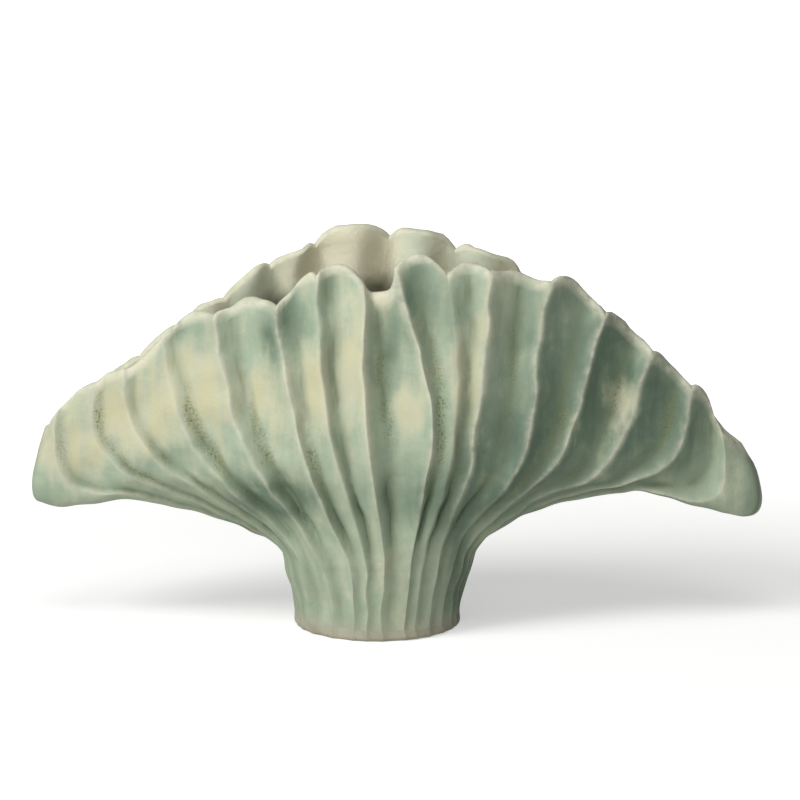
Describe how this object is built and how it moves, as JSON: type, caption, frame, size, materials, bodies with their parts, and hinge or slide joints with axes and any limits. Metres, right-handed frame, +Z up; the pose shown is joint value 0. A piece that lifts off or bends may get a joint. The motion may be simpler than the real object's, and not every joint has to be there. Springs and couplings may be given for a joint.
{
  "type": "fan vase",
  "caption": "Hand-built stoneware flower vase: a short fluted stem opens into a wide pleated fan with a notched, ruffled rim and two drooping wing tips.",
  "frame": {"origin": "middle of the foot's flat underside", "axes": "+X to the longer, right-hand wing; +Y to the back; +Z up the stem"},
  "size_m": [0.4031, 0.1169, 0.219],
  "materials": {
    "celadon_glaze": "matte celadon glaze on stoneware",
    "bare_clay": "unglazed stoneware"
  },
  "bodies": {
    "root": {"base_slab": "bare_clay", "pedestal": "celadon_glaze", "front_wall": "celadon_glaze", "back_wall": "celadon_glaze", "left_tip": "celadon_glaze", "right_tip": "celadon_glaze"}
  },
  "joints": []
}
